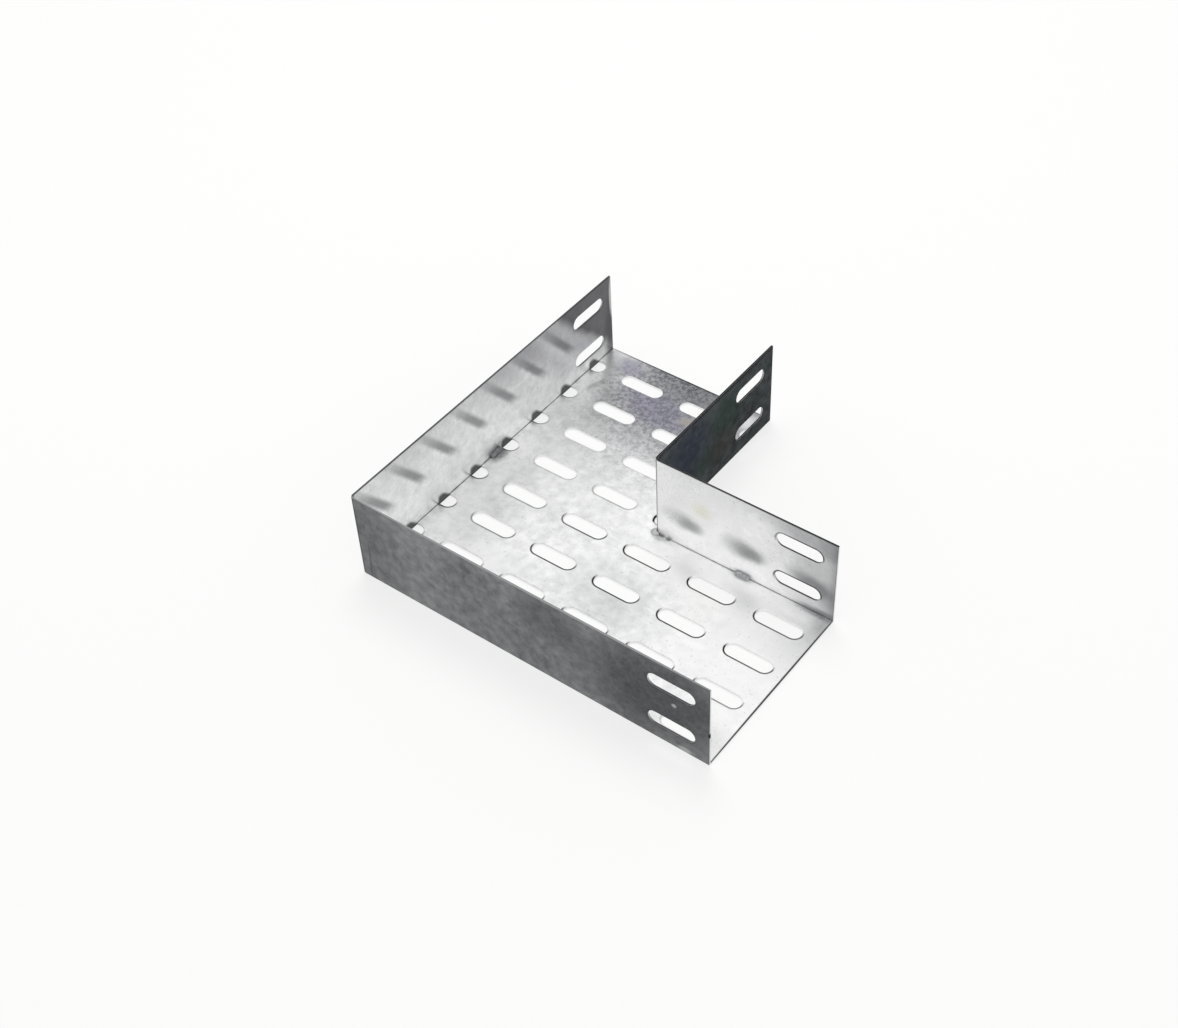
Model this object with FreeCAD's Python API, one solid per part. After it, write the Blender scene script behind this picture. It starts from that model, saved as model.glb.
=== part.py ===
import FreeCAD, Part
import math
import os

from FreeCAD import Vector

# Flat 90 degree bend of a perforated cable tray. The arms run along +X and +Y and stand on z = 0.
# The origin is where the centre lines of the two arms cross, on the underside of the floor.

# Sheet and tray section, in millimetres
sheet_thickness = 1.2
inside_width = 100.0  # clear width of both arms, between the side walls
wall_height = 50.0  # from the underside of the floor to the top edges of the walls
leg_length = 100.0  # from the outside of the inner corner to each open end
bend_radius = 1.5  # on the inside of both upright bends
floor_corner_clearance = 0.5  # the floor's corner is this much rounder than the bend around it

# Slots punched all over the floor, their long side along X
floor_slot_length = 25.0
floor_slot_width = 8.0
column_pitch = 37.5
row_pitch = 25.0
first_column_inset = 31.8  # from the outer wall's inside face to the first whole column
first_row_inset = 9.0  # from the outer wall's inside face to the first row
open_end_land = 4.0  # least metal between a slot and an open end of the floor

# Fixing slots in the walls at both open ends, their long side level
wall_slot_length = 25.0
wall_slot_width = 8.0
wall_slot_spacing = 25.0  # between the lower slot and the upper one, centre to centre
wall_slot_end_distance = 20.0  # from the wall's end to the slot's centre

# Tack welds in the corner between the floor and the walls
tack_length = 9.0
tack_leg = 2.0  # reach of a tack over the floor and up the wall
corner_tack_radius = 2.6
corner_tack_offset = 0.4  # the middle of a corner tack stands this far off the bend

# Places that follow from the sizes above
half_width = inside_width / 2
outer_face = half_width + sheet_thickness
open_end = outer_face + leg_length
outer_bend_radius = bend_radius + sheet_thickness

swap_arms = Vector(1, -1, 0)  # normal of the upright plane that mirrors one arm onto the other


def line(start, end):
    return Part.makeLine(Vector(*start, 0), Vector(*end, 0))


def arc(start, middle, end):
    return Part.Arc(Vector(*start, 0), Vector(*middle, 0), Vector(*end, 0)).toShape()


def quarter_arc(centre, radius):
    # arc around (centre, centre) that joins the two sides of a corner facing -X and -Y
    middle = centre - radius * math.sqrt(0.5)
    return arc((centre, centre - radius), (middle, middle), (centre - radius, centre))


def wall_plan(face):
    # strip folded square, seen from above: its outer sides lie on x = face and on y = face
    back = face + sheet_thickness
    centre = face + outer_bend_radius
    edges = [
        line((open_end, face), (centre, face)),
        quarter_arc(centre, outer_bend_radius),
        line((face, centre), (face, open_end)),
        line((face, open_end), (back, open_end)),
        line((back, open_end), (back, centre)),
        quarter_arc(centre, bend_radius),
        line((centre, back), (open_end, back)),
        line((open_end, back), (open_end, face)),
    ]
    return Part.Face(Part.Wire(Part.__sortEdges__(edges)))


def tray_plan(outer_corner_radius, inner_corner_radius):
    # the L between the walls, with the given roundings at its outer and its re-entrant corner
    outer = -half_width + outer_corner_radius
    inner = half_width + inner_corner_radius
    edges = [
        line((outer, -half_width), (open_end, -half_width)),
        line((open_end, -half_width), (open_end, half_width)),
        line((open_end, half_width), (inner, half_width)),
        line((half_width, inner), (half_width, open_end)),
        line((half_width, open_end), (-half_width, open_end)),
        line((-half_width, open_end), (-half_width, outer)),
        quarter_arc(outer, outer_corner_radius),
    ]
    if inner_corner_radius > 0:
        edges.append(quarter_arc(inner, inner_corner_radius))
    return Part.Face(Part.Wire(Part.__sortEdges__(edges)))


def slot_cutter(length, width):
    # round-ended slot along X, centred on the origin, three sheets deep to pass through one
    radius = width / 2
    straight = length / 2 - radius
    edges = [
        line((-straight, -radius), (straight, -radius)),
        arc((straight, -radius), (length / 2, 0), (straight, radius)),
        line((straight, radius), (-straight, radius)),
        arc((-straight, radius), (-length / 2, 0), (-straight, -radius)),
    ]
    cutter = Part.Face(Part.Wire(edges)).extrude(Vector(0, 0, 3 * sheet_thickness))
    cutter.translate(Vector(0, 0, -1.5 * sheet_thickness))
    return cutter


def places_between(first, pitch, low, high):
    # every place first + n * pitch from low to high
    start = math.ceil((low - first) / pitch)
    stop = math.floor((high - first) / pitch)
    return [first + n * pitch for n in range(start, stop + 1)]


def floor_slots():
    # the perforation runs on under the outer wall, which closes the slots that its inside face crosses
    reach_x = floor_slot_length / 2
    reach_y = floor_slot_width / 2
    first_x = first_column_inset - half_width
    first_y = first_row_inset - half_width
    last = open_end - open_end_land
    cutters = []
    for x in places_between(first_x, column_pitch, -half_width - reach_x, last - reach_x):
        for y in places_between(first_y, row_pitch, -half_width - reach_y, last - reach_y):
            in_notch = x - reach_x > half_width and y - reach_y > half_width
            if in_notch:
                continue
            cutter = slot_cutter(floor_slot_length, floor_slot_width)
            cutter.translate(Vector(x, y, sheet_thickness / 2))
            cutters.append(cutter)
    return cutters


def make_floor_plate():
    plan = tray_plan(bend_radius + floor_corner_clearance, 0)
    return plan.extrude(Vector(0, 0, sheet_thickness)).cut(floor_slots())


def wall_slots(face):
    # two slots, one above the other, in each leg of the strip whose outer sides lie on face
    cutters = []
    for level in (-0.5, 0.5):
        cutter = slot_cutter(wall_slot_length, wall_slot_width)
        cutter.rotate(Vector(0, 0, 0), Vector(1, 0, 0), 90)
        height = wall_height / 2 + level * wall_slot_spacing
        cutter.translate(Vector(open_end - wall_slot_end_distance, face + sheet_thickness / 2, height))
        cutters.append(cutter)
        cutters.append(cutter.mirror(Vector(0, 0, 0), swap_arms))
    return cutters


def make_side_wall(face):
    return wall_plan(face).extrude(Vector(0, 0, wall_height)).cut(wall_slots(face))


def seam_tack():
    # bead along X in the corner of a floor (z = 0) and a wall (y = 0), with rounded ends
    tip = tack_length / 2
    straight = tip - tack_leg
    bow = tack_leg * math.sqrt(0.5)
    edges = [
        arc((-tip, 0), (-straight - bow, bow), (-straight, tack_leg)),
        line((-straight, tack_leg), (straight, tack_leg)),
        arc((straight, tack_leg), (straight + bow, bow), (tip, 0)),
        line((tip, 0), (-tip, 0)),
    ]
    return Part.Face(Part.Wire(edges)).revolve(Vector(0, 0, 0), Vector(1, 0, 0), 90)


def make_seam_tacks():
    # one at the middle of each straight run of wall
    by_outer_wall = seam_tack()
    by_outer_wall.translate(Vector(leg_length / 2, -half_width, sheet_thickness))
    by_inner_wall = seam_tack().mirror(Vector(0, 0, 0), Vector(0, 1, 0))
    by_inner_wall.translate(Vector(outer_face + leg_length / 2, half_width, sheet_thickness))
    tacks = []
    for tack in (by_outer_wall, by_inner_wall):
        tacks.append(tack)
        tacks.append(tack.mirror(Vector(0, 0, 0), swap_arms))
    return Part.makeCompound(tacks)


def make_corner_tack(corner, face_radius, offset):
    # drop of weld at the foot of a bend, on the floor and against the bend
    middle = corner + face_radius * (1 - math.sqrt(0.5)) + offset * math.sqrt(0.5)
    drop = Part.makeSphere(corner_tack_radius, Vector(middle, middle, sheet_thickness))
    above_floor = tray_plan(bend_radius, outer_bend_radius).extrude(Vector(0, 0, wall_height))
    above_floor.translate(Vector(0, 0, sheet_thickness))
    return drop.common(above_floor)


def main():
    os.makedirs("parts", exist_ok=True)
    parts = {
        "floor_plate": make_floor_plate(),
        "outer_side_wall": make_side_wall(-outer_face),
        "inner_side_wall": make_side_wall(half_width),
        "seam_tack_welds": make_seam_tacks(),
        "outer_corner_tack_weld": make_corner_tack(-half_width, bend_radius, corner_tack_offset),
        "inner_corner_tack_weld": make_corner_tack(half_width, outer_bend_radius, -corner_tack_offset),
    }
    for name, shape in parts.items():
        shape.exportStep(f"parts/{name}.step")
        print(f"{name}: {len(shape.Solids)} solid(s), {shape.Volume:.1f} mm3, valid: {shape.isValid()}")


main()
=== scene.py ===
import math

import bmesh
import bpy
from mathutils import Matrix, Vector, noise


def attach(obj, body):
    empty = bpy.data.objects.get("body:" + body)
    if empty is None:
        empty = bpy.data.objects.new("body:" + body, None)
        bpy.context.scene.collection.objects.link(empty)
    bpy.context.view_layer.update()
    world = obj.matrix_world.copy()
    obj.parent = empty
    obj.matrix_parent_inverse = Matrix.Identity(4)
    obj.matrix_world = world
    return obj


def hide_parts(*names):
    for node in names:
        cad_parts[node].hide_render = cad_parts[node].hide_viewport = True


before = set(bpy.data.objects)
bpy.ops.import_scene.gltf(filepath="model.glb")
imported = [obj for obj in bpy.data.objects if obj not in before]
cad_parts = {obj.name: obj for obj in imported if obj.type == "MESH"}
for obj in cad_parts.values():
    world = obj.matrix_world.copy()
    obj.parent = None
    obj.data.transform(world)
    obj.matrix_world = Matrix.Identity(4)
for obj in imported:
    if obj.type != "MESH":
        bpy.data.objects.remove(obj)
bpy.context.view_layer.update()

# Flat 90 degree bend of perforated cable tray: three sheets of galvanised steel, tack welded together.
# Everything stands in the part's own frame, in metres. Sizes in the dictionaries are in millimetres.

mm = 0.001


# Helpers

def hexColour(code):
    # sRGB hex to the linear colour that the nodes take
    channels = [int(code[i:i + 2], 16) / 255 for i in (1, 3, 5)]
    return tuple(c / 12.92 if c <= 0.04045 else ((c + 0.055) / 1.055) ** 2.4 for c in channels) + (1.0,)


def addNode(tree, kind, inputs=(), **settings):
    # adds a node; each input is a value, or the node or socket that feeds it, by place or by name
    node = tree.nodes.new("ShaderNode" + kind)
    for key, value in settings.items():
        setattr(node, key, value)
    for key, value in (inputs.items() if isinstance(inputs, dict) else enumerate(inputs)):
        source = value.outputs[0] if isinstance(value, bpy.types.Node) else value
        if isinstance(source, bpy.types.NodeSocket):
            tree.links.new(source, node.inputs[key])
        else:
            node.inputs[key].default_value = source
    return node


def newMaterial(name):
    material = bpy.data.materials.new(name)
    material.use_nodes = True
    material.node_tree.nodes.clear()
    return material, material.node_tree


def newObject(name, data):
    thing = bpy.data.objects.new(name, data)
    bpy.context.scene.collection.objects.link(thing)
    return thing


# Camera, at the photograph's viewing angle

photoCamera = {
    "lens": 55.84,
    "sensorWidth": 36.0,
    "clip": (0.01, 50.0),  # metres
    "eye": (420.78, -454.09, 637.02),
    "aim": (15.38, 42.48, 0.0),
    "roll": -3.154,  # degrees
}


def makeCamera(values):
    camera = newObject("photoCamera", bpy.data.cameras.new("photoCamera"))
    bpy.context.scene.camera = camera
    camera.data.lens = values["lens"]
    camera.data.sensor_width = values["sensorWidth"]
    camera.data.clip_start, camera.data.clip_end = values["clip"]
    eye = Vector(values["eye"]) * mm
    forward = (Vector(values["aim"]) * mm - eye).normalized()
    level = forward.cross(Vector((0, 0, 1))).normalized()
    roll = math.radians(values["roll"])
    right = level * math.cos(roll) + level.cross(forward) * math.sin(roll)
    up = right.cross(forward)
    camera.matrix_world = Matrix.Translation(eye) @ Matrix((right, up, -forward)).transposed().to_4x4()


makeCamera(photoCamera)
print("camera: at the photograph's angle")


# Studio: floor, softbox and world

studio = {
    "floorColour": "#F4F4F2",
    "floorRoughness": 0.9,
    "floorGloss": 0.1,
    "floorSize": 8000,
    "floorWhite": 0.75,  # share of plain white in the floor as the camera sees it
    "floorGap": 0.2,  # the floor lies this far under the tray, so that the two never flicker
    "worldColour": "#FFFFFF",
    "worldLevel": 0.70,  # the world's light on matt surfaces; metal mirrors plain white
    "keyWatts": 9.0,
    "keySize": 700,
    "keyPlace": (-300, 500, 1400),
    "keyAim": (40, 40, 0),
}


def seenPlainly(tree):
    # 1 for rays from the camera and for those mirrored by metal, 0 for light that falls on matt surfaces
    path = addNode(tree, "LightPath")
    seen = addNode(tree, "Math", (path.outputs["Is Camera Ray"], path.outputs["Is Glossy Ray"]),
                   operation="MAXIMUM")
    return addNode(tree, "Math", (seen, path.outputs["Is Transmission Ray"]), operation="MAXIMUM")


def makeFloor(values):
    mesh = bpy.data.meshes.new("studioFloor")
    half = values["floorSize"] * mm / 2
    height = -values["floorGap"] * mm
    corners = ((-half, -half), (half, -half), (half, half), (-half, half))
    mesh.from_pydata([(x, y, height) for x, y in corners], [], [(0, 1, 2, 3)])
    floor = newObject("studioFloor", mesh)
    # Matt white paper, rolled out: next to no gloss, so it shows little but the tray's soft shadow
    material, tree = newMaterial("Matt white paper, rolled out")
    shader = addNode(tree, "BsdfPrincipled", {
        "Base Color": hexColour(values["floorColour"]), "Roughness": values["floorRoughness"],
        "Specular IOR Level": values["floorGloss"]})
    white = addNode(tree, "Emission", (hexColour(values["worldColour"]), 1.0))
    share = addNode(tree, "Math", (seenPlainly(tree), values["floorWhite"]), operation="MULTIPLY")
    shader = addNode(tree, "MixShader", (share, shader, white))
    addNode(tree, "OutputMaterial", (shader,))
    mesh.materials.append(material)


def makeKey(values):
    light = bpy.data.lights.new("keySoftbox", "AREA")
    light.energy = values["keyWatts"]
    light.shape = "DISK"
    light.size = values["keySize"] * mm
    lamp = newObject("keySoftbox", light)
    place = Vector(values["keyPlace"]) * mm
    turn = (Vector(values["keyAim"]) * mm - place).to_track_quat("-Z", "Y")
    lamp.matrix_world = Matrix.Translation(place) @ turn.to_matrix().to_4x4()
    lamp.visible_glossy = False  # the sheets mirror the plain white studio, not the lamp


def makeWorld(values):
    world = bpy.data.worlds.new("studioWorld")
    bpy.context.scene.world = world
    world.use_nodes = True
    tree = world.node_tree
    tree.nodes.clear()
    level = addNode(tree, "MapRange", {
        "Value": seenPlainly(tree), "To Min": values["worldLevel"], "To Max": 1.0})
    background = addNode(tree, "Background", (hexColour(values["worldColour"]), level))
    addNode(tree, "OutputWorld", (background,))


makeFloor(studio)
makeKey(studio)
makeWorld(studio)
bpy.context.scene.view_settings.view_transform = "Standard"
print("studio: floor, key softbox and world")


# Galvanised sheet

zincCoat = {
    "rimColour": "#262729",  # the drawn-over rim of each punched or sheared edge
    "rimStrength": 0.75,
    "lineWidth": 1.1,  # of the dark line drawn along one side of a slot
    "lineCore": 0.6,  # share of that width over which the line is at its darkest
    "lineFades": (0.6, -0.1),  # where it begins and where it is full across a slot, in half slot widths
    "lineArea": 0.2,  # core of the areas in which it shows, as in the stains
    "slotClearance": (1.4, 1.0),  # this near to a slot the rim fades out, and the line takes its place
    # how far a face must point out of the inside of the sheet, as a cosine, to count as
    "outsideBand": (-0.3, -0.6),  # the outside,
    "cutBand": (0.5, 0.2),  # a cut edge
    "rimBand": (0.985, 0.9),  # or the rim of one
    "crumbSize": 2.1,  # of the bits that a broken stain falls apart into
    "speckColour": "#6C6E70",
    "cloudSize": 42,
    "cloudShare": 0.55,  # how much the clouds, the mottle and the spangles darken the zinc
    "mottleSize": 5.0,
    "mottleShare": 0.35,
    "spangleSize": 2.6,
    "spangleShare": 0.22,
    "speckSize": 1.5,
    "grainSize": 0.9,  # the real skin-pass grain is 0.1 mm; drawn coarser to show
    "grainDepth": 0.03,
    "grainStrength": 0.3,
    "waver": 2.2,  # how far the outline of a stain strays
    "waverSize": 7.6923,
    "cutRougher": 0.12,  # a sheared or punched edge is this much rougher than the strip
    "slotLength": 25.0,
    "slotWidth": 8.0,
}


def stainAndPaintedLightMask(tree, place, stains, core):
    # soft blots (centre, reach, turn in degrees, strength), each drawn where it lies on the sheet
    total = None
    for centre, reach, turn, strength in stains:
        turned = [math.radians(angle) for angle in turn]
        near = addNode(tree, "Mapping", {
            "Vector": place, "Location": centre, "Rotation": turned, "Scale": reach}, vector_type="TEXTURE")
        far = addNode(tree, "VectorMath", (near,), operation="LENGTH").outputs["Value"]
        blot = addNode(tree, "MapRange", {
            "Value": far, "From Min": 1.0, "From Max": core, "To Max": strength},
            interpolation_type="SMOOTHSTEP")
        total = blot if total is None else addNode(tree, "Math", (total, blot), operation="ADD")
    return addNode(tree, "Math", (total, 1.0), operation="MINIMUM")


def slotRims(tree, coat, across, up, piece):
    # dark line along one side of every slot of a repeating pattern, and a mask of all that lies by a slot
    steps = []
    for value, start, step in zip((across, up), piece["slotFirst"], piece["slotPitch"]):
        value = addNode(tree, "Math", (value, start), operation="SUBTRACT")
        steps.append(addNode(tree, "Math", (value, step / 2, -step / 2), operation="WRAP"))
    straight = (coat["slotLength"] - coat["slotWidth"]) / 2
    over = addNode(tree, "Math", (steps[0],), operation="ABSOLUTE")
    over = addNode(tree, "Math", (over, straight), operation="SUBTRACT")
    over = addNode(tree, "Math", (over, 0.0), operation="MAXIMUM")
    reach = addNode(tree, "CombineXYZ", (over, steps[1], 0.0))
    reach = addNode(tree, "VectorMath", (reach,), operation="LENGTH").outputs["Value"]
    edge = coat["slotWidth"] / 2
    width = coat["lineWidth"]
    line = addNode(tree, "MapRange", {
        "Value": reach, "From Min": edge + width, "From Max": edge + coat["lineCore"] * width})
    start, full = [edge * piece["slotSide"] * share for share in coat["lineFades"]]
    oneSide = addNode(tree, "MapRange", {"Value": steps[1], "From Min": start, "From Max": full})
    line = addNode(tree, "Math", (line, oneSide), operation="MULTIPLY")
    outer, inner = coat["slotClearance"]
    bySlot = addNode(tree, "MapRange", {"Value": reach, "From Min": edge + outer, "From Max": edge + inner})
    return line, bySlot


def blend(tree, factor, lower, upper):
    mix = addNode(tree, "Mix", {0: factor, 6: lower, 7: upper}, data_type="RGBA")
    return mix.outputs[2]


def addStainsAndPaintedLight(tree, colour, layers, place, crumbs):
    # lays one layer after the other of stains, painted reflections and painted shade over a colour, whole
    # or broken up into crumbs
    for stainColour, core, broken, stains in layers:
        mask = stainAndPaintedLightMask(tree, place, stains, core)
        if broken:
            whole = addNode(tree, "MapRange", {"Value": crumbs, "To Min": 1 - broken})
            mask = addNode(tree, "Math", (mask, whole), operation="MULTIPLY")
        colour = blend(tree, mask, colour, hexColour(stainColour))
    return colour


leftWallFace = (-49.2, -49.8)  # x over which a row fades in, just in front of the left wall's inside


def addPaintedLightRow(tree, colour, row, place):
    # a row of soft painted marks along Y, on the side wall's left leg, that lean and narrow as they rise:
    # they stand for reflections and shadow
    px, py, pz = addNode(tree, "SeparateXYZ", (place,)).outputs
    height = addNode(tree, "Math", (pz, row["foot"]), operation="SUBTRACT")
    slid = addNode(tree, "Math", (height, row["lean"], py), operation="MULTIPLY_ADD")
    slid = addNode(tree, "Math", (slid, row["first"]), operation="SUBTRACT")
    near = addNode(tree, "Math", (slid, row["pitch"] / 2, -row["pitch"] / 2), operation="WRAP")
    away = addNode(tree, "Math", (near,), operation="ABSOLUTE")
    away = addNode(tree, "Math", (height, row["narrowing"], away), operation="MULTIPLY_ADD")
    last = (row["count"] - 0.5) * row["pitch"]
    limits = [(away, row["softWidth"], row["fullWidth"], 0.0), (slid, last, last - 1, 0.0),
              (px, *leftWallFace, 0.0), (pz, *row["rise"]), (pz, *row["fade"])]
    mask = row["strength"]
    for value, start, end, least in limits:
        share = addNode(tree, "MapRange", {
            "Value": value, "From Min": start, "From Max": end, "To Min": least},
            interpolation_type="SMOOTHSTEP")
        mask = addNode(tree, "Math", (mask, share), operation="MULTIPLY")
    return blend(tree, mask, colour, hexColour(row["colour"]))


def zincMaterial(name, coat, piece):
    # Steel strip, hot dip galvanised and skin passed: pale soft metal, cloudy, with small dull spangles
    # the stains, rows and outside colours that piece gives also paint reflections and shade onto the zinc
    material, tree = newMaterial(name)
    spot = addNode(tree, "TexCoord")
    place = addNode(tree, "VectorMath", {0: spot.outputs["Object"], "Scale": 1 / mm}, operation="SCALE")
    px, py, pz = addNode(tree, "SeparateXYZ", (place,)).outputs
    nx, ny, nz = addNode(tree, "SeparateXYZ", (spot.outputs["Normal"],)).outputs

    # which way the sheet faces: 1 on its inside, -1 on its outside, 0 on a cut edge
    if piece["lies"]:
        facing = nz
        across, up = px, py
    else:
        alongX = addNode(tree, "Math", (px, py), operation="GREATER_THAN")
        facing = addNode(tree, "Mix", {0: alongX, 2: nx, 3: ny}).outputs[0]
        facing = addNode(tree, "Math", (facing, piece["insideSign"]), operation="MULTIPLY")
        across = addNode(tree, "Math", (px, py), operation="MAXIMUM")
        up = pz
    start, full = coat["outsideBand"]
    outside = addNode(tree, "MapRange", {"Value": facing, "From Min": start, "From Max": full})
    flat = addNode(tree, "Math", (facing,), operation="ABSOLUTE")
    start, full = coat["cutBand"]
    cut = addNode(tree, "MapRange", {"Value": flat, "From Min": start, "From Max": full})
    start, full = coat["rimBand"]
    rim = addNode(tree, "MapRange", {
        "Value": flat, "From Min": start, "From Max": full, "To Max": coat["rimStrength"]})
    line, bySlot = slotRims(tree, coat, across, up, piece)
    rim = addNode(tree, "Math", (rim, bySlot), operation="SUBTRACT", use_clamp=True)
    where = stainAndPaintedLightMask(tree, place, piece["slotRim"], coat["lineArea"])
    line = addNode(tree, "Math", (line, where), operation="MULTIPLY")
    rim = addNode(tree, "Math", (rim, line), operation="MAXIMUM")
    rim = addNode(tree, "Math", (rim, cut), operation="SUBTRACT", use_clamp=True)

    # patterns; From Min and From Max pick the part of a noise that shows
    clouds = addNode(tree, "TexNoise", {"Vector": place, "Scale": 1 / coat["cloudSize"], "Detail": 3.0})
    mottle = addNode(tree, "TexNoise", {
        "Vector": place, "Scale": 1 / coat["mottleSize"], "Detail": 4.0, "Roughness": 0.65})
    spangle = addNode(tree, "TexVoronoi", {"Vector": place, "Scale": 1 / coat["spangleSize"]})
    spangle = addNode(tree, "SeparateColor", (spangle.outputs["Color"],))
    specks = addNode(tree, "TexNoise", {"Vector": place, "Scale": 1 / coat["speckSize"], "Detail": 1.0})
    specks = addNode(tree, "MapRange", {"Value": specks, "From Min": 0.66, "From Max": 0.76})
    grain = addNode(tree, "TexNoise", {"Vector": place, "Scale": 1 / coat["grainSize"], "Detail": 2.0})
    tone = addNode(tree, "MapRange", {"Value": clouds, "From Min": 0.3, "From Max": 0.7})
    fine = addNode(tree, "MapRange", {
        "Value": mottle, "From Min": 0.3, "From Max": 0.7,
        "To Min": -coat["mottleShare"], "To Max": coat["mottleShare"]})
    tone = addNode(tree, "Math", (tone, coat["cloudShare"], fine), operation="MULTIPLY_ADD")
    tone = addNode(tree, "Math", (spangle, coat["spangleShare"], tone),
                   operation="MULTIPLY_ADD", use_clamp=True)

    # stains, painted reflections and painted shade, with outlines that waver
    waver = addNode(tree, "TexNoise", {"Vector": place, "Scale": 1 / coat["waverSize"], "Detail": 1.0})
    waver = addNode(tree, "VectorMath", (waver.outputs["Color"], (0.5, 0.5, 0.5)), operation="SUBTRACT")
    waver = addNode(tree, "VectorMath", {0: waver, "Scale": coat["waver"]}, operation="SCALE")
    strayed = addNode(tree, "VectorMath", (place, waver), operation="ADD")
    crumbs = addNode(tree, "TexNoise", {
        "Vector": place, "Scale": 1 / coat["crumbSize"], "Detail": 4.0, "Roughness": 0.7})
    crumbs = addNode(tree, "MapRange", {"Value": crumbs, "From Min": 0.44, "From Max": 0.6})

    # colour, from the zinc itself to what lies on top of it, with painted reflections and painted shade
    # among the stains and rows
    inside = blend(tree, tone, hexColour(piece["insideLight"]), hexColour(piece["insideDull"]))
    inside = addStainsAndPaintedLight(tree, inside, piece["insideStainsAndPaintedLight"], strayed, crumbs)
    for row in piece["rows"]:
        inside = addPaintedLightRow(tree, inside, row, place)
    outer = blend(tree, tone, hexColour(piece["outsideShadedLight"]), hexColour(piece["outsideShadedDull"]))
    outer = addStainsAndPaintedLight(tree, outer, piece["outsideStainsAndPaintedLight"], strayed, crumbs)
    colour = blend(tree, outside, inside, outer)
    speckStrength = addNode(tree, "Math", (specks, piece["specks"]), operation="MULTIPLY")
    colour = blend(tree, speckStrength, colour, hexColour(coat["speckColour"]))
    colour = blend(tree, rim, colour, hexColour(coat["rimColour"]))
    upward = addNode(tree, "Math", (nz,), operation="ABSOLUTE")
    cutColour = blend(tree, upward, hexColour(piece["cutUpright"]), hexColour(piece["cutLevel"]))
    colour = blend(tree, cut, colour, cutColour)
    colour = addStainsAndPaintedLight(tree, colour, piece["marks"], place, crumbs)

    low, high = piece["roughness"]
    rough = addNode(tree, "MapRange", {"Value": tone, "To Min": low, "To Max": high})
    rough = addNode(tree, "Math", (outside, piece["outsideRougher"], rough), operation="MULTIPLY_ADD")
    rough = addNode(tree, "Math", (cut, coat["cutRougher"], rough), operation="MULTIPLY_ADD")
    bump = addNode(tree, "Bump", {
        "Strength": coat["grainStrength"], "Distance": coat["grainDepth"] * mm, "Height": grain})
    shader = addNode(tree, "BsdfPrincipled", {
        "Base Color": colour, "Metallic": 1.0, "Roughness": rough, "Normal": bump})
    if "outsideShadedSheen" in piece:
        # painted shade: the dark outside of a wall mirrors less white than its inside
        sheen = blend(tree, outside, hexColour("#FFFFFF"), hexColour(piece["outsideShadedSheen"]))
        tree.links.new(sheen, shader.inputs["Specular Tint"])
    addNode(tree, "OutputMaterial", (shader,))
    return material


def dressSheet(name, material, edge):
    # the CAD sheet stays; its punched and sheared edges are rounded off
    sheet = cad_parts[name]
    sheet.data.materials.clear()
    sheet.data.materials.append(material)
    weld = sheet.modifiers.new("weld", "WELD")
    weld.merge_threshold = edge["weldGap"] * mm
    faces = sheet.modifiers.new("wholeFaces", "DECIMATE")
    faces.decimate_type = "DISSOLVE"
    faces.angle_limit = math.radians(edge["flatAngle"])
    bevel = sheet.modifiers.new("roundedEdges", "BEVEL")
    bevel.width = edge["width"] * mm
    bevel.segments = edge["segments"]
    bevel.limit_method = "ANGLE"
    bevel.angle_limit = math.radians(edge["sharpAngle"])
    bevel.loop_slide = False
    bevel.use_clamp_overlap = False
    sheet.modifiers.new("flatFaces", "WEIGHTED_NORMAL")


punchedEdge = {
    "width": 0.28,
    "segments": 3,
    "sharpAngle": 40,  # degrees, from which an edge is rounded
    "flatAngle": 1,  # degrees, up to which neighbouring faces are made one
    "weldGap": 0.001,  # points this near to each other are made one
}

# Stains, painted reflections and painted shade come in layers: colour, core as a share of the reach, how
# far they are broken up into crumbs, and where they lie as (centre, reach, turn, strength). Marks are the
# same, but with outlines that don't waver.
# "slotRim" says in the same way where the dark line beside the slots shows, and "slotSide" on which side of
# them it lies: 1 for the lower one, -1 for the upper one.

tackBurn = "#737477"  # zinc burnt off around a tack weld
jointShade = "#6B6C6E"  # painted shade in the joint between the floor and a wall
darkLine = "#1E1F21"

# Floor plate: painted reflections make it nearly white at the right and grey towards the back, with a lilac
# patch, and painted shade darkens its joints

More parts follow.
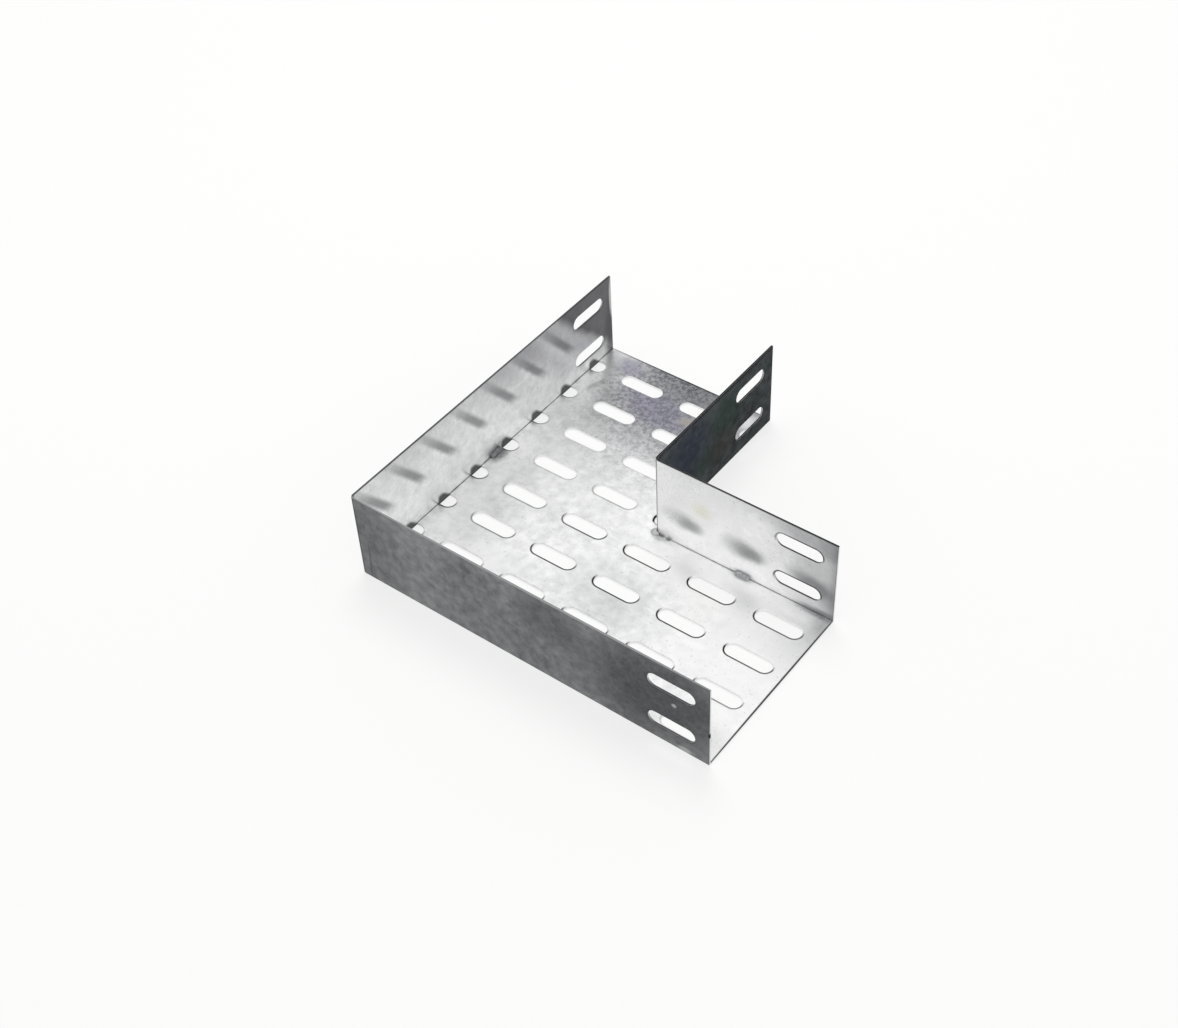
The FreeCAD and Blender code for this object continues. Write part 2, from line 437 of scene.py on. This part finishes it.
floorPlate = {
    "lies": True,
    "roughness": (0.34, 0.50),
    "insideLight": "#FFFFFF",
    "insideDull": "#DADBDB",
    # painted shade: the underside is darker than the top, as the walls' outsides are
    "outsideShadedLight": "#B9BABB",
    "outsideShadedDull": "#949596",
    "outsideRougher": 0.1,
    "cutUpright": "#F4F4F4",
    "cutLevel": "#F4F4F4",
    "slotFirst": (-18.2, 9.0),
    "slotPitch": (37.5, 25.0),
    "slotSide": 1,
    "slotRim": [((20, -5, 0), (130, 115, 50), (0, 0, 0), 0.6),
                ((135, 12, 0), (190, 72, 50), (0, 0, 0), 0.9),
                ((-46, 50, 0), (8, 150, 50), (0, 0, 0), 0.6)],
    "specks": 0.2,
    "insideStainsAndPaintedLight": [
        # painted reflections: these layers make the floor palest at the front right and greyer and mottled
        # to the back, with a lilac patch
        ("#FFFFFF", 0.2, 0.0, [((142, 12, 1.2), (75, 95, 20), (0, 0, 0), 0.85),
                               ((85, 40, 1.2), (60, 25, 20), (0, 0, 0), 0.8),
                               ((-5, -12, 1.2), (30, 20, 20), (0, 0, 0), 0.6)]),
        ("#C4C5C6", 0.1, 0.1, [((52, 4, 1.2), (42, 24, 20), (0, 0, -15), 0.45)]),
        ("#9C9D9F", 0.1, 0.15, [((20, 165, 1.2), (105, 115, 20), (0, 0, 0), 1.0)]),
        ("#68696C", 0.2, 0.3, [((24, 158, 1.2), (76, 38, 20), (0, 0, 0), 0.6)]),
        ("#8A8B8E", 0.2, 0.3, [((12, 122, 1.2), (62, 44, 20), (0, 0, 0), 0.55)]),
        ("#5E5F62", 0.3, 0.6, [((12, 146, 1.2), (62, 16, 20), (0, 0, 0), 0.4)]),
        ("#FFFFFF", 0.2, 0.0, [((-42, 116, 1.2), (17, 28, 20), (0, 0, 0), 0.6)]),
        ("#918EA4", 0.3, 0.2, [((-1, 123, 1.2), (34, 17, 20), (0, 0, -14), 0.8),
                               ((-32, 143, 1.2), (12, 9, 20), (0, 0, -10), 0.7)]),
        ("#7F8183", 0.2, 0.3, [((-39.7, 121, 1.2), (3, 9, 20), (0, 0, -20), 0.5),
                               ((142, 48.8, 1.2), (15, 2.6, 20), (0, 0, 0), 0.55),
                               ((149, 44, 1.2), (9, 9, 20), (0, 0, 0), 0.3)]),
        ("#A4A5A8", 0.1, 1.0, [((15, 115, 1.2), (85, 62, 20), (0, 0, 0), 0.7)]),
        ("#504F5A", 0.3, 1.0, [((4, 128, 1.2), (56, 36, 20), (0, 0, -10), 0.55),
                               ((14, 149, 1.2), (50, 9, 20), (0, 0, 0), 0.4)]),
        ("#B0A9A0", 0.2, 0.2, [((17, 124.5, 1.2), (8, 5, 20), (0, 0, 30), 0.8)]),
        ("#E2E2E2", 0.2, 0.1, [((140, -42, 1.2), (30, 16, 20), (0, 0, 0), 0.8)]),
        ("#FFFFFF", 0.1, 0.0, [((43.5, 142, 1.2), (9, 11, 20), (0, 0, 0), 0.6),
                               ((-40, 18, 1.2), (14, 45, 20), (0, 0, 0), 0.5)]),
        # painted shade in the joints between the floor and the walls
        (jointShade, 0.3, 0.0, [((-50.3, 50, 1.2), (1.1, 300, 20), (0, 0, 0), 0.4),
                              ((50, -50.3, 1.2), (300, 1.1, 20), (0, 0, 0), 0.4),
                              ((100, 50.3, 1.2), (70, 1.5, 20), (0, 0, 0), 0.25),
                              ((50.3, 100, 1.2), (1.5, 70, 20), (0, 0, 0), 0.25)]),
        (tackBurn, 0.2, 0.3, [((-47.5, 50, 1.2), (6, 10, 20), (0, 0, 0), 0.8),
                              ((48.5, -47.5, 1.2), (10, 6, 20), (0, 0, 0), 0.95),
                              ((101.2, 49, 1.2), (9, 3, 20), (0, 0, 0), 0.4),
                              ((49, 101.2, 1.2), (3, 9, 20), (0, 0, 0), 0.4),
                              ((55, 48.6, 1.2), (10, 4, 20), (0, 0, 0), 0.5),
                              ((-48, -48, 1.2), (6, 6, 20), (0, 0, 0), 0.5)]),
    ],
    "rows": [],
    "outsideStainsAndPaintedLight": [],
    "marks": [
        (darkLine, 0.5, 0.0, [((151.2, 0, 0.6), (0.8, 80, 2), (0, 0, 0), 0.9),
                              ((0, 151.2, 0.6), (80, 1.5, 2), (0, 0, 0), 0.85),
                              ((44.7, 57.6, 1.0), (1.3, 3.4, 3), (0, 0, 15), 1.0),
                              ((54.2, 49.3, 1.2), (2.0, 0.8, 3), (0, 0, 0), 0.6),
                              ((58.4, 49.2, 1.2), (1.8, 0.8, 3), (0, 0, 0), 0.6),
                              ((49.8, 50.6, 1.2), (1.2, 3.0, 3), (0, 0, 0), 0.6)]),
    ],
}

# Outer side wall: painted reflections as slanting dark streaks all along its left leg and a dark end, and
# painted shade on its outside

outerSideWall = {
    "lies": False,
    "roughness": (0.26, 0.40),
    "insideSign": 1.0,
    "insideLight": "#F3F3F3",
    "insideDull": "#D5D6D6",
    # painted shade: the outside tones are darker than the inside ones, as the outside mirrors the shaded
    # floor
    "outsideShadedLight": "#919293",
    "outsideShadedDull": "#67686A",
    "outsideShadedSheen": "#DDDDDD",
    "outsideRougher": 0.08,
    "cutUpright": "#D6D7D8",
    "cutLevel": "#515254",
    "slotFirst": (131.2, 12.5),
    "slotPitch": (1000.0, 25.0),
    "slotSide": 1,
    "slotRim": [((50, 50, 25), (2000, 2000, 2000), (0, 0, 0), 0.2)],
    "specks": 0.15,
    "insideStainsAndPaintedLight": [
        ("#BEBFC0", 0.1, 0.2, [((-50, 40, 55), (10, 150, 28), (0, 0, 0), 0.5)]),
        # painted reflection: the far end of the left leg darkens, in a slanting patch above and low down by
        # its last slot
        ("#3E3E42", 0.84, 0.0, [((-50, 162, 60), (20, 130, 53), (-45, 0, 0), 0.92)]),
        ("#444448", 0.4, 0.0, [((-50, 153, 14), (20, 11, 40), (0, 0, 0), 0.85)]),
        # painted shade along the wall's foot
        (jointShade, 0.4, 0.0, [((-50, 50, 0.9), (1.0, 300, 1.2), (0, 0, 0), 0.35),
                              ((50, -50, 0.9), (300, 1.0, 1.2), (0, 0, 0), 0.35)]),
        (tackBurn, 0.2, 0.3, [((-50, 53, 2.5), (5, 11, 8), (0, 0, 0), 0.85),
                              ((51, -50, 2.5), (10, 5, 8), (0, 0, 0), 1.0),
                              ((-49, -49, 2), (6, 6, 4), (0, 0, 0), 0.6)]),
    ],
    "outsideStainsAndPaintedLight": [
        # painted shade: darker patches on the front wall's outside, where it mirrors the shaded floor
        ("#4A4B4D", 0.25, 0.2, [((125, -51.2, 30), (62, 20, 42), (0, 0, 0), 0.9),
                                ((64, -51.2, 38), (26, 20, 20), (0, 0, 0), 0.5),
                                ((-52, -51.2, 25), (36, 20, 60), (0, 0, 0), 0.4)]),
        ("#3C3D3F", 0.5, 0.0, [((-49.4, -51.2, 12), (1.0, 4, 60), (0, 0, 0), 0.6),
                               ((-43.7, -51.2, 12), (0.7, 4, 16), (0, 2, 0), 0.5)]),
        ("#B4B5B6", 0.3, 0.0, [((132.8, -51.2, 27.7), (1.6, 5, 1.6), (0, 0, 0), 0.9),
                               ((138.5, -51.2, 1.5), (5, 5, 2.5), (0, 0, 0), 0.9)]),
    ],
    "rows": [
        # painted reflections of the floor's slots as streaks, palest at the wall's top edge
        {"colour": "#858687", "strength": 0.85, "first": -36.4, "pitch": 23.75, "count": 7, "foot": 35.0,
         "lean": 0.83, "narrowing": 0.0, "softWidth": 5.0, "fullWidth": 1.0, "rise": (20.0, 29.0, 0.0),
         "fade": (52.0, 34.0, 0.35)},
        # the shadow over each floor slot that this wall closes
        {"colour": "#343537", "strength": 0.95, "first": -41.4, "pitch": 25.0, "count": 8, "foot": 1.2,
         "lean": 0.38, "narrowing": 0.6, "softWidth": 5.8, "fullWidth": 3.2, "rise": (-0.6, 0.0, 0.0),
         "fade": (7.4, 4.0, 0.0)},
    ],
    "marks": [
        ("#A9AAAB", 0.6, 0.0, [((50, -50.4, 50), (150, 1.1, 0.6), (0, 0, 0), 0.75)]),
        ("#C4C5C6", 0.5, 0.0, [((-50, 151.2, 37), (3, 2.6, 17), (0, 0, 0), 0.8)]),
        ("#0E0E0F", 0.6, 0.0, [((151.2, -50.6, 20), (1.0, 1.3, 1.9), (0, 0, 0), 1.0)]),
    ],
}

# Inner side wall: painted reflections as dull patches on its tray side, and a side to the notch painted
# dark as a reflection, with some blue and green

innerSideWall = {
    "lies": False,
    "roughness": (0.26, 0.40),
    "insideSign": -1.0,
    "insideLight": "#FFFFFF",
    "insideDull": "#F2F2F2",
    # painted shade: the side to the notch is dark, standing in for a reflection of dark surroundings
    "outsideShadedLight": "#454B4D",
    "outsideShadedDull": "#121517",
    "outsideShadedSheen": "#D0D0D0",
    "outsideRougher": 0.0,
    "cutUpright": "#E2E3E4",
    "cutLevel": "#2A2B2D",
    "slotFirst": (131.2, 12.5),
    "slotPitch": (1000.0, 25.0),
    "slotSide": -1,
    "slotRim": [((138, 50, 18), (38, 200, 60), (0, 0, 0), 1.3)],
    "specks": 0.15,
    "insideStainsAndPaintedLight": [
        # painted reflections: brightest by the bend, duller to the right, and darker patches that mirror
        # the floor's slots
        ("#FFFFFF", 0.2, 0.0, [((58, 50, 30), (60, 20, 40), (0, 0, 0), 1.0)]),
        ("#B6B7B8", 0.2, 0.1, [((154, 50, 28), (50, 20, 60), (0, 0, 0), 0.8),
                               ((138, 50, 50), (46, 20, 14), (0, 0, 0), 0.6)]),
        ("#AEAFB0", 0.2, 0.1, [((66.5, 50, 18.4), (15, 20, 8), (0, 0, 0), 0.7),
                               ((101.5, 50, 18.7), (17, 20, 9), (0, 0, 0), 0.8),
                               ((137.8, 50, 18.5), (17, 20, 9), (0, 12, 0), 0.8)]),
        ("#8A8B8C", 0.2, 0.0, [((71.5, 50, 17.4), (10, 20, 5.2), (0, 0, 0), 0.6),
                               ((105.5, 50, 18), (11, 20, 6), (0, 0, 0), 0.75),
                               ((139, 50, 18), (13, 20, 6.5), (0, 12, 0), 0.9),
                               ((147, 50, 15), (8, 20, 12), (0, 0, 0), 0.5),
                               ((153, 50, 25), (7, 20, 70), (0, 0, 0), 0.6),
                               ((148, 50, 46), (10, 20, 11), (0, 0, 0), 0.5),
                               ((142, 50, 1.5), (15, 20, 4), (0, 0, 0), 0.65)]),
        ("#F0EDD8", 0.2, 0.4, [((78, 50, 31), (8, 20, 7), (0, 0, 0), 0.8)]),
        # painted shade along the wall's foot
        (jointShade, 0.4, 0.0, [((100, 50, 0.9), (70, 1.0, 1.5), (0, 0, 0), 0.25),
                              ((50, 100, 0.9), (1.0, 70, 1.5), (0, 0, 0), 0.25)]),
        (tackBurn, 0.2, 0.3, [((101.2, 50, 2), (9, 5, 4), (0, 0, 0), 0.4),
                              ((50, 101.2, 2), (5, 9, 4), (0, 0, 0), 0.4),
                              ((51, 51, 2), (6, 6, 4), (0, 0, 0), 0.5)]),
    ],
    "outsideStainsAndPaintedLight": [
        # painted reflections on the dark side: lighter along the second leg, blue, green and brown patches,
        # darkest along the top
        ("#808183", 0.4, 0.1, [((128, 51.2, 25), (76, 6, 90), (0, 0, 0), 1.0)]),
        ("#1A2539", 0.1, 0.4, [((51.2, 77.5, 34), (20, 28, 24), (0, 0, 0), 0.9)]),
        ("#1B3227", 0.1, 0.4, [((51.2, 110, 35), (20, 22, 18), (0, 0, 0), 0.9),
                               ((51.2, 91, 16), (20, 15, 12), (0, 0, 0), 0.7)]),
        ("#35322C", 0.1, 0.3, [((51.2, 106, 16), (20, 18, 13), (0, 0, 0), 0.6)]),
        ("#4A4C4E", 0.2, 0.3, [((51.2, 72, 4), (20, 40, 13), (0, 0, 0), 0.6)]),
        ("#0C0E10", 0.3, 0.0, [((51.2, 100, 50), (20, 120, 2.4), (0, 0, 0), 0.8)]),
    ],
    "rows": [],
    "marks": [],
}

for sheetName, piece in (("floor_plate", floorPlate), ("outer_side_wall", outerSideWall),
                         ("inner_side_wall", innerSideWall)):
    finishName = "Steel strip, hot dip galvanised and skin passed, " + sheetName.replace("_", " ")
    dressSheet(sheetName, zincMaterial(finishName, zincCoat, piece), punchedEdge)
    print("sheet:", sheetName)

# Tack welds

tackWeld = {
    "length": 9.0,
    "leg": 2.0,
    "ripplePitch": 1.05,
    "rippleHeight": 0.09,  # share of the leg
    "lumps": 0.10,  # share of the leg
    "lumpRate": 0.45,  # turns of the lumps' noise per millimetre of a bead
    "toeLumps": 0.12,  # at both toes of a bead, share of the leg
    "toeRate": 0.9,
    "dropLumps": 0.12,  # share of a drop's radius
    "dropRate": 1.3,  # turns of the noise from the middle of a drop outwards
    "sink": 0.03,  # how deep a bead lies in the sheets
    "cornerRadius": 2.6,
    "cornerOffset": 0.4,
    "cornerFlattening": 0.42,  # share of a drop's height that is missing at its top
    "skinSize": 1.4286,  # of the patches in the oxide skin
    "tintSize": 3.3333,
    "pitSize": 0.3333,
    "pitDepth": 0.05,
    "pitStrength": 0.4,
    "roughness": (0.32, 0.55),
    "metalLight": "#A8A9AA",
    "metalDark": "#7B7C7E",
    "oxideTint": "#85868C",
    "oxideStrength": 0.6,
    # beads by the outer wall are burnt dark, those by the inner wall and its corner stay pale
    "tints": [("#7C7D80", 0.6, 0.0, [((-49, 50, 2), (10, 10, 10), (0, 0, 0), 0.5),
                                     ((50, -49, 2), (10, 10, 10), (0, 0, 0), 0.5)]),
              ("#CCCDCE", 0.6, 0.0, [((101.2, 49, 2), (10, 10, 10), (0, 0, 0), 0.5),
                                     ((49, 101.2, 2), (10, 10, 10), (0, 0, 0), 0.5),
                                     ((50, 50, 2), (10, 10, 10), (0, 0, 0), 0.9)])],
}
halfWidth = 50.0  # from the middle of the tray to the inside face of a wall
legLength = 100.0  # from the outside of the inner corner to an open end
floorTop = 1.2  # the thickness of the sheet
bendInside = 1.5  # inside radius of the walls' upright bends
bendOutside = bendInside + floorTop


def weldMetal(values):
    # Mild steel weld metal, MIG tacked and left as it froze: rippled grey under a thin, bluish oxide skin
    material, tree = newMaterial("Mild steel weld metal, MIG tacked")
    spot = addNode(tree, "TexCoord")
    place = addNode(tree, "VectorMath", {0: spot.outputs["Object"], "Scale": 1 / mm}, operation="SCALE")
    skin = addNode(tree, "TexNoise", {"Vector": place, "Scale": 1 / values["skinSize"], "Detail": 4.0})
    skin = addNode(tree, "MapRange", {"Value": skin, "From Min": 0.35, "From Max": 0.65})
    tint = addNode(tree, "TexNoise", {"Vector": place, "Scale": 1 / values["tintSize"], "Detail": 2.0})
    tint = addNode(tree, "MapRange", {
        "Value": tint, "From Min": 0.45, "From Max": 0.7, "To Max": values["oxideStrength"]})
    colour = blend(tree, skin, hexColour(values["metalLight"]), hexColour(values["metalDark"]))
    colour = blend(tree, tint, colour, hexColour(values["oxideTint"]))
    colour = addStainsAndPaintedLight(tree, colour, values["tints"], place, skin)
    low, high = values["roughness"]
    rough = addNode(tree, "MapRange", {"Value": skin, "To Min": low, "To Max": high})
    pits = addNode(tree, "TexNoise", {"Vector": place, "Scale": 1 / values["pitSize"], "Detail": 2.0})
    bump = addNode(tree, "Bump", {
        "Strength": values["pitStrength"], "Distance": values["pitDepth"] * mm, "Height": pits})
    shader = addNode(tree, "BsdfPrincipled", {
        "Base Color": colour, "Metallic": 1.0, "Roughness": rough, "Normal": bump})
    addNode(tree, "OutputMaterial", (shader,))
    return material


def addBead(shape, values, start, along, over, seed):
    # rippled bead in the corner between the floor and a wall; over points from the wall across the floor
    steps, turns = 72, 14
    tip = values["length"] / 2
    straight = tip - values["leg"]
    up = Vector((0, 0, 1))
    base = Vector(start) - (over + up) * values["sink"]
    tipShare = 0.999  # a bead stops a hair before its tip, so that each end closes with a face
    columns = []
    for i in range(steps + 1):
        x = tip * (2 * i / steps - 1) * tipShare
        end = max(abs(x) - straight, 0) / values["leg"]
        height = values["leg"] * math.sqrt(1 - end * end)
        column = [base + along * x]
        for j in range(turns + 1):
            angle = math.pi / 2 * j / turns
            bow = 2 * j / turns - 1
            ripple = math.cos(2 * math.pi * (x - 0.5 * bow * bow) / values["ripplePitch"])
            # the seed takes every bead to a place of its own in the noise
            lump = noise.noise(Vector((x * values["lumpRate"], bow * 0.9, seed * 7.3)))
            toe = noise.noise(Vector((x * values["toeRate"], 3.1 + bow, seed * 3.7))) * abs(bow) ** 3
            size = height * (1 + values["rippleHeight"] * ripple * (1 - bow * bow)
                             + values["lumps"] * lump + values["toeLumps"] * toe)
            column.append(base + along * x + (over * math.cos(angle) + up * math.sin(angle)) * size)
        columns.append([shape.verts.new(p * mm) for p in column])
    for one, two in zip(columns, columns[1:]):
        for k in range(turns + 2):
            shape.faces.new((one[k], two[k], two[(k + 1) % (turns + 2)], one[(k + 1) % (turns + 2)]))
    shape.faces.new(columns[0])
    shape.faces.new(reversed(columns[-1]))


def addDrop(shape, values, corner, inCorner, seed):
    # lumpy drop of weld at the foot of a bend; inCorner says if a point lies free of the bend
    rings, spokes, tries = 12, 56, 40
    middle = Vector((corner, corner, floorTop - values["sink"]))
    rows = []
    for i in range(rings):
        rise = math.pi / 2 * i / rings
        row = []
        for j in range(spokes):
            turn = 2 * math.pi * j / spokes
            level = math.cos(rise)
            way = Vector((level * math.cos(turn), level * math.sin(turn), math.sin(rise)))
            lump = noise.noise(way * values["dropRate"] + Vector((seed * 5.1, 0, 0)))
            reach = values["cornerRadius"] * (1 + values["dropLumps"] * lump)
            reach *= 1 - values["cornerFlattening"] * math.sin(rise)
            length = reach
            for k in range(1, tries + 1):
                if not inCorner(middle + way * reach * k / tries):
                    length = reach * (k - 0.5) / tries + values["sink"]
                    break
            row.append(shape.verts.new((middle + way * min(length, reach)) * mm))
        rows.append(row)
    height = values["cornerRadius"] * (1 - values["cornerFlattening"])
    top = shape.verts.new((middle + Vector((0, 0, height))) * mm)
    foot = shape.verts.new(middle * mm)
    for low, high in zip(rows, rows[1:]):
        for j in range(spokes):
            shape.faces.new((low[j], low[(j + 1) % spokes], high[(j + 1) % spokes], high[j]))
    for j in range(spokes):
        shape.faces.new((rows[-1][j], rows[-1][(j + 1) % spokes], top))
        shape.faces.new((rows[0][(j + 1) % spokes], rows[0][j], foot))


def finishWeld(name, shape, material, node):
    bmesh.ops.recalc_face_normals(shape, faces=shape.faces)
    mesh = bpy.data.meshes.new(name)
    shape.to_mesh(mesh)
    shape.free()
    mesh.polygons.foreach_set("use_smooth", [True] * len(mesh.polygons))
    mesh.materials.append(material)
    weld = newObject(name, mesh)
    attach(weld, "root")
    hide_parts(node)


# The next two say if a point lies on the floor's side of the outer wall's bend and of the inner wall's

def inOuterCorner(point):
    centre = -halfWidth + bendInside
    if point.x > centre or point.y > centre:
        return point.x > -halfWidth and point.y > -halfWidth
    return math.hypot(point.x - centre, point.y - centre) < bendInside


def inInnerCorner(point):
    centre = halfWidth + bendOutside
    if point.x > centre or point.y > centre:
        return point.x < halfWidth or point.y < halfWidth
    return math.hypot(point.x - centre, point.y - centre) > bendOutside


def makeWelds(values):
    material = weldMetal(values)
    half = halfWidth
    near = legLength / 2
    far = half + floorTop + legLength / 2
    beads = bmesh.new()
    seams = [
        ((near, -half, floorTop), (1, 0, 0), (0, 1, 0)),
        ((-half, near, floorTop), (0, 1, 0), (1, 0, 0)),
        ((far, half, floorTop), (1, 0, 0), (0, -1, 0)),
        ((half, far, floorTop), (0, 1, 0), (-1, 0, 0)),
    ]
    for seed, (start, along, over) in enumerate(seams):
        addBead(beads, values, start, Vector(along), Vector(over), seed + 1)
    finishWeld("seamTackBeads", beads, material, "seam_tack_welds")
    slant = 1 - math.sqrt(0.5)
    offset = values["cornerOffset"] * math.sqrt(0.5)
    drop = bmesh.new()
    addDrop(drop, values, -half + bendInside * slant + offset, inOuterCorner, 6)
    finishWeld("outerCornerTackDrop", drop, material, "outer_corner_tack_weld")
    drop = bmesh.new()
    addDrop(drop, values, half + bendOutside * slant - offset, inInnerCorner, 9)
    finishWeld("innerCornerTackDrop", drop, material, "inner_corner_tack_weld")


makeWelds(tackWeld)
print("tack welds: four beads and two drops")
